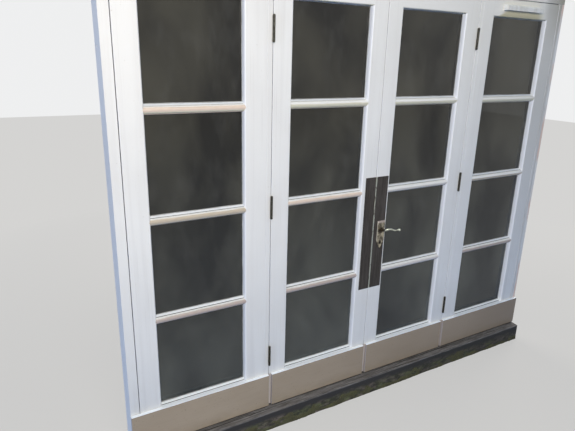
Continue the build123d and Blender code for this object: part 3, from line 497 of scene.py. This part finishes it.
def sealant():
    """Old glazing compound, white going grey, with dirt where it meets the glass."""
    finish = Finish("sealant", roughness=0.6, Specular_IOR_Level=0.3)
    patches = finish.noise((20.0, 20.0, 20.0), detail=5.0, shift=4.0)
    tone = finish.mix(finish.band(patches, 0.35, 0.7), (0.5, 0.515, 0.53), (0.3, 0.3, 0.295))
    near = finish.band(finish.axis("Y"), 0.0248, 0.0257)
    tone = finish.over(tone, near, 0.55, (0.12, 0.12, 0.11))
    return finish.send(Base_Color=tone, Normal=finish.bump(patches, 0.3, 0.0006))


def bare_timber():
    """Dark bare hardwood with fine straight grain, paler where it is worn."""
    finish = Finish("bare_timber", roughness=0.72, Specular_IOR_Level=0.2)
    grain = finish.noise(along("Z", 420.0, 7.0), detail=5.0, distortion=0.4)
    pores = finish.noise(along("Z", 900.0, 30.0), detail=3.0, shift=6.0)
    patches = finish.noise((26.0, 26.0, 5.0), detail=5.0, shift=3.0)
    base = finish.mix(finish.band(grain, 0.3, 0.7), (0.021, 0.0185, 0.016), (0.078, 0.069, 0.061))
    base = finish.over(base, finish.band(patches, 0.48, 0.7), 0.6, (0.09, 0.08, 0.073))
    base = finish.mix(finish.band(pores, 0.6, 0.7), base, (0.012, 0.009, 0.008))
    # Grime with painted shade in inner corners.
    base = finish.over(base, finish.corners(0.006), 0.8, (0.01, 0.008, 0.007))
    return finish.send(Base_Color=base, Normal=finish.bump(grain, 0.7, 0.0008))


def glass():
    """Window glass darkened as painted shade, with a painted reflection in broad patches that is
    paler towards the ground, all under a film of dust.
    """
    finish = Finish(
        "glass", roughness=0.015, IOR=1.5, Specular_IOR_Level=0.3, Transmission_Weight=0.55
    )
    painted_reflection_patches = finish.noise((2.6, 2.6, 1.7), detail=4.0, shift=2.0, distortion=0.6)
    film = finish.noise((16.0, 16.0, 7.0), detail=6.0, roughness=0.6)
    # The dark tone is painted shade, and its broad patches a painted reflection, paler lower down.
    dark = finish.mix(finish.band(painted_reflection_patches, 0.35, 0.65), (0.012, 0.011, 0.008), (0.07, 0.066, 0.048))
    painted_low_reflection = finish.mix(finish.band(painted_reflection_patches, 0.35, 0.65), (0.03, 0.037, 0.043), (0.115, 0.126, 0.118))
    low = finish.band(finish.axis("Z"), 1.6, 0.35)
    tone = finish.mix(low, dark, painted_low_reflection)
    tone = finish.over(tone, finish.band(film, 0.5, 0.8), 0.2, (0.16, 0.16, 0.15))
    return finish.send(Base_Color=tone)


def metal(name, colour, dark, roughness):
    """Worn metal: tarnish in blotches, duller where it is dark, with fine pitting."""
    finish = Finish(name, Metallic=1.0)
    tarnish = finish.noise((90.0, 90.0, 90.0), detail=5.0, roughness=0.6)
    fine = finish.noise((900.0, 900.0, 900.0), detail=2.0, shift=4.0)
    amount = finish.band(tarnish, 0.38, 0.64)
    tone = finish.mix(amount, colour, dark)
    tone = finish.over(tone, finish.corners(0.004), 0.85, tuple(0.3 * part for part in dark))
    return finish.send(
        Base_Color=tone, Normal=finish.bump(fine, 0.2, 0.0002),
        Roughness=finish.spread(amount, roughness, roughness + 0.22),
    )


def handle_plate_brass():
    """Tarnished brass plates, with a painted shadow under the lever's neck, painted shade in and
    round the keyhole, and painted highlights on the left edge and top.

    The painted dark spots are judged by the square of the distance from the spindle or from the
    key's way.
    """
    finish = Finish("handle_plate_brass", Metallic=1.0)
    blotch = finish.noise((48.0, 48.0, 48.0), detail=5.0, roughness=0.62, shift=12.0)
    fine = finish.noise((700.0, 700.0, 700.0), detail=2.0, shift=4.0)
    across = finish.math("SUBTRACT", finish.axis("X"), spindle_x)
    height = finish.axis("Z")
    tone = finish.mix(finish.band(blotch, 0.4, 0.58), (0.46, 0.42, 0.33), (0.12, 0.11, 0.09))
    # Painted highlight along the top.
    tone = finish.mix(finish.band(height, 0.968, 0.976), tone, (0.5, 0.44, 0.43))
    painted_neck_shadow_spot, painted_keyhole_shade_spot = (0.00036, 0.00016), (0.00005, 0.00002)
    rise = finish.math("SUBTRACT", height, spindle_z - 0.004)
    squares = finish.math("ADD", finish.times(across, across), finish.times(rise, rise))
    # Painted shadow under the lever's neck.
    tone = finish.mix(finish.band(squares, *painted_neck_shadow_spot), tone, (0.07, 0.06, 0.05))
    drop = finish.times(finish.math("SUBTRACT", height, key_z - 0.003), 0.5)
    squares = finish.math("ADD", finish.times(across, across), finish.times(drop, drop))
    # Painted shade round the keyhole.
    tone = finish.mix(finish.band(squares, *painted_keyhole_shade_spot), tone, (0.03, 0.026, 0.022))
    # Painted highlight down the left edge.
    tone = finish.mix(finish.band(across, -0.0212, -0.0226), tone, (0.72, 0.69, 0.62))
    tone = finish.over(tone, finish.corners(0.004), 0.8, (0.035, 0.03, 0.025))
    return finish.send(
        Base_Color=tone, Normal=finish.bump(blotch, 0.2, 0.0006, finish.bump(fine, 0.2, 0.0002)),
        Roughness=finish.spread(blotch, 0.3, 0.55),
    )


def lever_brass():
    """Levers: black tarnish on the neck, pale and grey-green further out, where use has rubbed it.

    How far out is judged by the distance from the leaf's middle plus the distance across from the
    spindle.
    """
    finish = Finish("lever_brass", Metallic=1.0)
    blotch = finish.noise((80.0, 80.0, 80.0), detail=5.0, shift=14.0)
    fine = finish.noise((800.0, 800.0, 800.0), detail=2.0, shift=4.0)
    arm = finish.mix(finish.band(blotch, 0.42, 0.62), (0.62, 0.65, 0.57), (0.33, 0.34, 0.28))
    reach = finish.math("ABSOLUTE", finish.math("SUBTRACT", finish.axis("Y"), leaf_middle))
    reach = finish.math("ADD", reach, finish.math("SUBTRACT", finish.axis("X"), spindle_x))
    end = finish.band(reach, 0.054, 0.0605)
    tone = finish.mix(end, (0.085, 0.072, 0.058), arm)
    return finish.send(
        Base_Color=tone, Normal=finish.bump(fine, 0.2, 0.0002),
        Roughness=finish.spread(blotch, 0.24, 0.44),
    )


def plastic():
    """Yellowed white plastic of the ventilator, streaked by rain."""
    finish = Finish("vent_plastic", roughness=0.4)
    grime = finish.noise((34.0, 34.0, 12.0), detail=5.0)
    fine = finish.noise((300.0, 300.0, 300.0), detail=2.0, shift=5.0)
    tone = finish.mix(finish.band(grime, 0.42, 0.75), (0.78, 0.775, 0.73), (0.6, 0.585, 0.5))
    # Grime with painted shade in inner corners.
    tone = finish.over(tone, finish.corners(0.008), 0.6, (0.3, 0.27, 0.2))
    return finish.send(Base_Color=tone, Normal=finish.bump(fine, 0.15, 0.0002))


def assign_finishes():
    """Gives every CAD node its finish, with white paint brushed along each member."""
    upright = white_paint("white_paint_upright", "Z", behind_boards=True)
    jamb = white_paint("white_paint_jamb", "Z")
    level = white_paint("white_paint_level", "X")
    flaking = flaking_paint()
    arris = chipped_arris_paint()
    plates = handle_plate_brass()
    levers = lever_brass()
    bars = bar_paint()
    top_rails = top_rail_paint()
    by_slot = {
        "tan_paint": tan_paint(),
        "weathered_timber": weathered_timber(),
        "bare_timber": bare_timber(),
        "glass": glass(),
        "dark_steel": metal("dark_steel", (0.075, 0.077, 0.066), (0.034, 0.03, 0.026), 0.46),
        "brass": metal("brass", (0.47, 0.43, 0.33), (0.17, 0.15, 0.11), 0.34),
        "lock_steel": metal("lock_steel", (0.5, 0.5, 0.5), (0.34, 0.34, 0.33), 0.3),
        "vent_plastic": plastic(),
    }
    for entry in frame["record"]["subparts"]:
        name = entry["node"]
        finish = plates if name.endswith("side_plate") else by_slot.get(entry["material_slot"])
        if name.endswith("_lever"):
            finish = levers
        if finish is None:
            if name.endswith("_bars") or name.endswith("bottom_rail"):
                finish = bars
            elif name.endswith("top_rail"):
                finish = top_rails
            elif name == "right_jamb":
                finish = flaking
            elif name == "left_jamb":
                finish = jamb
            elif name == "right_door_meeting_stile":
                finish = arris
            else:
                finish = level if name in ("head", "sill") else upright
        for slot in nodes[name].material_slots:
            slot.material = finish
    return by_slot | {"plates": plates}


def rough(u, v, cell_u, cell_v, seed, octaves=3):
    """Smooth noise from -1 to 1: random heights on a lattice of cells, blended by a cubic ramp.

    Each further octave has cells half as large and heights half as high.
    """
    side = 211
    start = 1000.0
    u, v = np.broadcast_arrays(u, v)
    total = np.zeros(u.shape)
    for octave in range(octaves):
        lattice = np.random.default_rng(seed + octave).uniform(-1.0, 1.0, (side, side))
        a = u / cell_u * 2 ** octave + start
        b = v / cell_v * 2 ** octave + start
        i = np.floor(a).astype(int)
        j = np.floor(b).astype(int)
        f = (a - i) ** 2 * (3.0 - 2.0 * (a - i))
        g = (b - j) ** 2 * (3.0 - 2.0 * (b - j))
        i, j, i_next, j_next = i % side, j % side, (i + 1) % side, (j + 1) % side
        low = lattice[i, j] * (1.0 - f) + lattice[i_next, j] * f
        high = lattice[i, j_next] * (1.0 - f) + lattice[i_next, j_next] * f
        total += (low * (1.0 - g) + high * g) / 2 ** octave
    return total / (2.0 - 0.5 ** (octaves - 1))


def add_shell(name, tubes, body, finish, looped=False, crease=35.0):
    """One closed mesh from tubes of rings, each an array (ring, place on the ring, xyz).

    A looped tube closes on itself; any other has its first and last ring filled. A tube whose volume
    comes out negative is turned round, so that faces point outwards.
    """
    points = []
    faces = []
    start = 0
    for rings in tubes:
        count, around = rings.shape[:2]
        index = np.arange(count * around).reshape(count, around)
        if looped:
            first, last = index, np.roll(index, -1, axis=0)
        else:
            first, last = index[:-1], index[1:]
        quads = np.stack(
            (first, np.roll(first, -1, axis=1), np.roll(last, -1, axis=1), last), axis=-1
        ).reshape(-1, 4)
        flat = rings.reshape(-1, 3)
        centred = flat - flat.mean(axis=0)
        a, b, c, d = (centred[quads[:, corner]] for corner in range(4))
        volume = (a * np.cross(b, c)).sum() + (a * np.cross(c, d)).sum()
        made = (quads + start).tolist()
        if not looped:
            made.append((index[0, ::-1] + start).tolist())
            made.append((index[-1] + start).tolist())
        faces += [face[::-1] for face in made] if volume < 0.0 else made
        points.append(flat)
        start += len(flat)
    mesh = bpy.data.meshes.new(name)
    mesh.from_pydata(np.concatenate(points), [], faces)
    mesh.shade_smooth()
    mesh.set_sharp_from_angle(angle=math.radians(crease))
    mesh.materials.append(finish)
    piece = bpy.data.objects.new(name, mesh)
    scene.collection.objects.link(piece)
    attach(piece, body)
    return piece


def add_sill_face(finish):
    """Weathered skin over the sill's top, nose and front.

    Along x each ring follows the sill's section: the falling top, a quarter round nose and the
    front. It stands off the section by a slow waviness plus fine grain, less narrow cracks that lie
    where a long stretched noise passes through zero, and less chips along the nose.
    """
    stand_off, wave_height, grain_height = 0.0013, 0.0007, 0.0006
    crack_depth, chip_depth, nose_width = 0.0017, 0.003, 0.006
    deepest, highest, highest_at_leaves = -0.0009, 0.0028, 0.001
    clear_of_end, clear_of_floor, clear_of_leaves = 0.0004, 0.0006, 0.0012
    inside_y, inside_z, inside_top = -0.05, 0.09, 0.098
    fall = sill_fall / sill_reach
    nose_z = sill_top - (sill_reach - sill_nose) * fall - sill_nose * math.hypot(1.0, fall)
    top = np.linspace(-clear_of_leaves, -(sill_reach - sill_nose) - sill_nose * fall, 24)
    turn = np.linspace(math.pi / 2 + fall, math.pi, 10)[1:-1]
    front = np.linspace(nose_z, clear_of_floor, 34)
    y = np.concatenate((
        top, -(sill_reach - sill_nose) + sill_nose * np.cos(turn), np.full(front.shape, -sill_reach)
    ))
    z = np.concatenate((sill_top + top * fall, nose_z + sill_nose * np.sin(turn), front))
    out_y = np.concatenate((np.full(top.shape, -fall), np.cos(turn), np.full(front.shape, -1.0)))
    out_z = np.concatenate((np.ones(top.shape), np.sin(turn), np.zeros(front.shape)))
    run = np.concatenate(((0.0,), np.cumsum(np.hypot(np.diff(y), np.diff(z)))))
    x = np.linspace(-frame_end + clear_of_end, frame_end - clear_of_end, 840)[:, None]
    wave = rough(x, run, 0.34, 0.05, 5)
    grain = rough(x, run, 0.06, 0.0042, 9, octaves=4)
    split = np.exp(-(rough(x, run, 0.42, 0.013, 21) / 0.04) ** 2)
    split *= np.clip(rough(x, run, 0.5, 0.04, 27) * 2.0 + 0.7, 0.0, 1.0)
    nose_run = run[len(top) + len(turn) // 2]
    on_nose = np.exp(-((run - nose_run) / nose_width) ** 2)
    chipped = on_nose * np.clip(rough(x, run, 0.05, 0.03, 33) - 0.1, 0.0, 1.0)
    off = stand_off + wave_height * wave + grain_height * grain
    off = np.clip(off - crack_depth * split - chip_depth * chipped, deepest, highest)
    off[:, :3] = np.minimum(off[:, :3], highest_at_leaves)
    outer = np.stack((np.broadcast_to(x, off.shape), y + off * out_y, z + off * out_z), axis=-1)
    back = np.array((
        (inside_y, clear_of_floor), (inside_y, inside_z), (-clear_of_leaves, inside_top)
    ))
    inner = np.empty((len(x), 3, 3))
    inner[..., 0] = x
    inner[..., 1:] = back
    rings = np.concatenate((outer, inner), axis=1)
    return add_shell("sill_face", [rings], "frame", finish, crease=60.0)


def add_moss(finish):
    """Moss along the foot of the sill.

    Its thickness is a share of a few millimetres: 0.6, less the height over 45 mm, plus patchy
    noise, all roughened by a fine noise. Where that is under zero the moss lies inside the sill and
    does not show.
    """
    clear_of_end, top, thickest, thinnest = 0.001, 0.062, 0.0036, -0.002
    sill_skin, depth_inside = 0.0009, 0.003
    x = np.linspace(-frame_end + clear_of_end, frame_end - clear_of_end, 1100)[:, None]
    height = np.linspace(0.0, top, 30)
    cover = 0.6 - height / 0.045 + 1.5 * rough(x, height, 0.07, 0.045, 41)
    tufts = 0.78 + 0.5 * rough(x, height, 0.006, 0.005, 47)
    thick = thickest * np.clip(cover, -1.0, 1.0) * tufts
    face = -sill_reach - sill_skin - np.clip(thick, thinnest, thickest)
    front = np.stack(
        (np.broadcast_to(x, thick.shape), face, np.broadcast_to(height, thick.shape)), axis=-1
    )
    back = np.empty((len(x), 2, 3))
    back[..., 0] = x
    back[..., 1:] = np.array(((-sill_reach + depth_inside, top), (-sill_reach + depth_inside, 0.0)))
    rings = np.concatenate((front, back), axis=1)
    return add_shell("sill_moss", [rings], "frame", finish, crease=80.0)


def sealant_ring(low_x, high_x, low_z, high_z, seed):
    """Hollow fillet round one pane, from the glass to the moulding, as a looped tube.

    Every ring is one place on the edge of the pane, and its points are that place moved into the
    pane by the section's widths, with both widths swelling by a slow noise. The last rings blend
    into the first.
    """
    count = 70
    blend = 8
    step = 0.006
    side = np.linspace(0.0, 1.0, count, endpoint=False)
    edge_x = np.concatenate((side, np.ones(count), 1.0 - side, np.zeros(count)))
    edge_z = np.concatenate((np.zeros(count), side, np.ones(count), 1.0 - side))
    place_x = low_x + edge_x * (high_x - low_x)
    place_z = low_z + edge_z * (high_z - low_z)
    run = np.arange(4 * count) * step
    swell = 1.0 + 0.3 * rough(run, seed * 1.7, 0.05, 1.0, 60)
    swell[-blend:] += (swell[0] - swell[-blend:]) * np.linspace(0.1, 0.95, blend)
    inset = np.array((-0.0004, 0.0027, 0.0012, 0.0004, -0.0004))
    depth = np.array((0.0003, 0.0003, -0.0007, -0.0013, -0.0029))
    across = inset * swell[:, None]
    rings = np.empty((4 * count, 5, 3))
    rings[..., 0] = np.clip(place_x[:, None], low_x + across, high_x - across)
    rings[..., 1] = glass_face + np.where(depth < 0.0, depth * swell[:, None], depth)
    rings[..., 2] = np.clip(place_z[:, None], low_z + across, high_z - across)
    return rings


def add_sealant(finish):
    """Fillets of glazing compound round the outside of all the panes, one piece to a body."""
    by_body = {}
    for low_x, high_x, drop, body in leaf_sights:
        for course in range(pane_courses):
            low_z = sight_foot - drop + course * pane_pitch
            seed = len(by_body.setdefault(body, []))
            by_body[body].append(sealant_ring(low_x, high_x, low_z, low_z + pane_height, seed))
    for body, tubes in by_body.items():
        add_shell(f"{body}_sealant", tubes, body, finish, looped=True, crease=50.0)


def screw_head(x, y, z, radius, height, out, turned):
    """Round head with a slot: a flattened dome of rings, cut down where the slot crosses it."""
    sunk = 0.0004
    slot_width, slot_depth, slot_end = 0.15, 0.72, 0.985
    share = np.array((1.0, 1.0, 0.98, 0.9, 0.78, 0.62, 0.45, 0.28, 0.12))[:, None]
    angle = np.linspace(0.0, 2.0 * math.pi, 32, endpoint=False)
    dome = height * (1.0 - share ** 2.6) ** 0.5 + 0.12 * height
    dome[0] = -sunk
    u = share * np.cos(angle)
    v = share * np.sin(angle)
    slot = np.exp(-(np.abs(u * math.sin(turned) - v * math.cos(turned)) / slot_width) ** 6)
    lift = np.broadcast_to(dome, u.shape) * (1.0 - slot_depth * slot * (share < slot_end))
    return np.stack((x + radius * u, y + out * lift, z + radius * v), axis=-1)


def bead_along(points, radius):
    """Looped round bead: eight points round a closed path that lies on a plane of constant y."""
    ahead = np.roll(points, -1, axis=0) - np.roll(points, 1, axis=0)
    ahead /= np.linalg.norm(ahead, axis=1, keepdims=True)
    side = np.stack((ahead[:, 2], np.zeros(len(points)), -ahead[:, 0]), axis=1)
    angle = np.linspace(0.0, 2.0 * math.pi, 8, endpoint=False)[None, :, None]
    out = np.array((0.0, 1.0, 0.0))
    return points[:, None] + radius * (np.cos(angle) * side[:, None] + np.sin(angle) * out)


def plate_edge(inset, y):
    """Outline of the handle plate, drawn in by the inset: its corners averaged over a short run."""
    side, top, shoulder, tip = 0.024, 0.047, -0.06, -0.104
    corners = np.array(((-side, top), (side, top), (side, shoulder), (0.0, tip), (-side, shoulder)))
    centre = np.array((0.0, -0.02))
    half_size = np.array((side, 0.06))
    step = np.linspace(0.0, 1.0, 60, endpoint=False)[:, None]
    ends = zip(corners, np.roll(corners, -1, axis=0))
    edge = np.concatenate([a + (b - a) * step for a, b in ends])
    window = sum(np.roll(edge, shift, axis=0) for shift in range(-7, 8)) / 15.0
    drawn = centre + (window - centre) * (1.0 - inset / half_size)
    level = np.full(len(drawn), y)
    return np.stack((spindle_x + drawn[:, 0], level, spindle_z + drawn[:, 1]), axis=1)


def add_hardware_details(brass, steel):
    """Raised edges and collar rings on the handle plates, and slotted heads on every screw in view.

    A face is the y of a plate's surface with the way it looks. A screw is its x, z and slot's turn.
    """
    plate_faces = ((-0.0038, -1.0), (0.047, 1.0))
    plate_screws = ((0.0353, 0.9762, 0.4), (0.0697, 0.9762, 1.1), (spindle_x, 0.8422, 2.0))
    edge_inset, edge_radius = 0.0022, 0.001
    collar_radius, collar_bead, collar_out = 0.0108, 0.0011, 0.004
    head_radius, bolt_head_radius, head_height, head_out = 0.0037, 0.003, 0.0012, 0.001
    bolt_x, bolt_face, bolt_side = -0.0335, 0.0465, 0.0115
    bolt_feet = (0.1225, 1.9475)
    bolt_rises = (0.0285, 0.0835, 0.1055)
    circle = np.linspace(0.0, 2.0 * math.pi, 64, endpoint=False)
    heads = []
    beads = []
    for face, out in plate_faces:
        beads.append(bead_along(plate_edge(edge_inset, face), edge_radius))
        ring = np.stack((
            spindle_x + collar_radius * np.cos(circle),
            np.full(circle.shape, face + out * collar_out),
            spindle_z + collar_radius * np.sin(circle),
        ), axis=1)
        beads.append(bead_along(ring, collar_bead))
        for x, z, turned in plate_screws:
            y = face + out * head_out
            heads.append(screw_head(x, y, z, head_radius, head_height, out, turned))
    add_shell("plate_edges", beads, "right_door", brass, looped=True)
    add_shell("plate_screw_heads", heads, "right_door", brass)
    bolts = []
    for foot in bolt_feet:
        for number, rise in enumerate(bolt_rises):
            for side in (-bolt_side, bolt_side):
                turned = 0.7 * number + 30.0 * side
                place = (bolt_x + side, bolt_face, foot + rise)
                bolts.append(screw_head(*place, bolt_head_radius, head_height, 1.0, turned))
    add_shell("bolt_screw_heads", bolts, "left_door", steel)


def seen_directly(tree):
    """1 for rays from the camera, in mirrors and through glass, and 0 for rays that carry light."""
    path = tree.nodes.new("ShaderNodeLightPath")
    total = path.outputs["Is Camera Ray"]
    for other in ("Is Glossy Ray", "Is Transmission Ray"):
        both = tree.nodes.new("ShaderNodeMath")
        both.operation = "MAXIMUM"
        tree.links.new(total, both.inputs[0])
        tree.links.new(path.outputs[other], both.inputs[1])
        total = both.outputs[0]
    return total


def add_floor():
    """Pale floor at the sill's underside, far wider than the object, that keeps the object's shadow.

    It shows more of its own even tone with distance, so that the lamps leave no pools of light.
    """
    reach = 14.0
    near_share, near_reach, far_reach = 0.72, 1.6, 4.2
    mesh = bpy.data.meshes.new("floor")
    corners = [(-reach, -reach, 0), (reach, -reach, 0), (reach, reach, 0), (-reach, reach, 0)]
    mesh.from_pydata(corners, [], [(0, 1, 2, 3)])
    floor = bpy.data.objects.new("floor", mesh)
    scene.collection.objects.link(floor)
    finish = Finish("floor", roughness=0.9, Specular_IOR_Level=0.1)
    seen = seen_directly(finish.tree)
    finish.send(Base_Color=finish.mix(seen, (0.13, 0.27, 0.58), (0.6, 0.59, 0.57)))
    glow = finish.node("ShaderNodeEmission", {"Color": (0.66, 0.655, 0.645, 1.0), "Strength": 1.0})
    away = finish.node("ShaderNodeVectorMath", {0: finish.place}, operation="LENGTH")
    even = finish.band(away.outputs["Value"], near_reach, far_reach)
    share = finish.times(seen, finish.spread(even, near_share, 1.0))
    shaders = {0: share, 1: finish.shader.outputs[0], 2: glow.outputs[0]}
    shown = finish.node("ShaderNodeMixShader", shaders)
    output = finish.tree.nodes["Material Output"]
    finish.tree.links.new(shown.outputs[0], output.inputs["Surface"])
    mesh.materials.append(finish.material)


def add_lamp(name, place, aim, size, energy, colour):
    """A rectangular area lamp at a place, turned towards the aim, all in metres and watts."""
    lamp = bpy.data.lights.new(name, "AREA")
    lamp.shape = "RECTANGLE"
    lamp.size, lamp.size_y = size
    lamp.energy = energy
    lamp.color = colour
    made = bpy.data.objects.new(name, lamp)
    turn = (Vector(aim) - Vector(place)).to_track_quat("-Z", "Y").to_matrix().to_4x4()
    made.matrix_world = Matrix.Translation(place) @ turn
    scene.collection.objects.link(made)
    return made


def add_light():
    """Soft light: a warm lamp at the upper left, cool ones above and left, and two behind.

    Those behind light the room side and the right end, and don't show through the glass.
    """
    world = bpy.data.worlds.new("world")
    scene.world = world
    world.use_nodes = True
    tree = world.node_tree
    background = tree.nodes["Background"]
    blend = tree.nodes.new("ShaderNodeMix")
    blend.data_type = "RGBA"
    blend.inputs[mix_first].default_value = (0.075, 0.135, 0.22, 1.0)
    blend.inputs[mix_second].default_value = (0.86, 0.865, 0.87, 1.0)
    tree.links.new(seen_directly(tree), blend.inputs[0])
    tree.links.new(blend.outputs[mix_result], background.inputs["Color"])
    background.inputs["Strength"].default_value = 1.0
    for name, *settings in lamps:
        lamp = add_lamp(name, *settings)
        lamp.visible_transmission = name not in lamps_behind


add_camera()
finishes = assign_finishes()
add_sill_face(finishes["weathered_timber"])
add_moss(moss_cover())
add_sealant(sealant())
add_hardware_details(finishes["plates"], finishes["lock_steel"])
add_floor()
add_light()
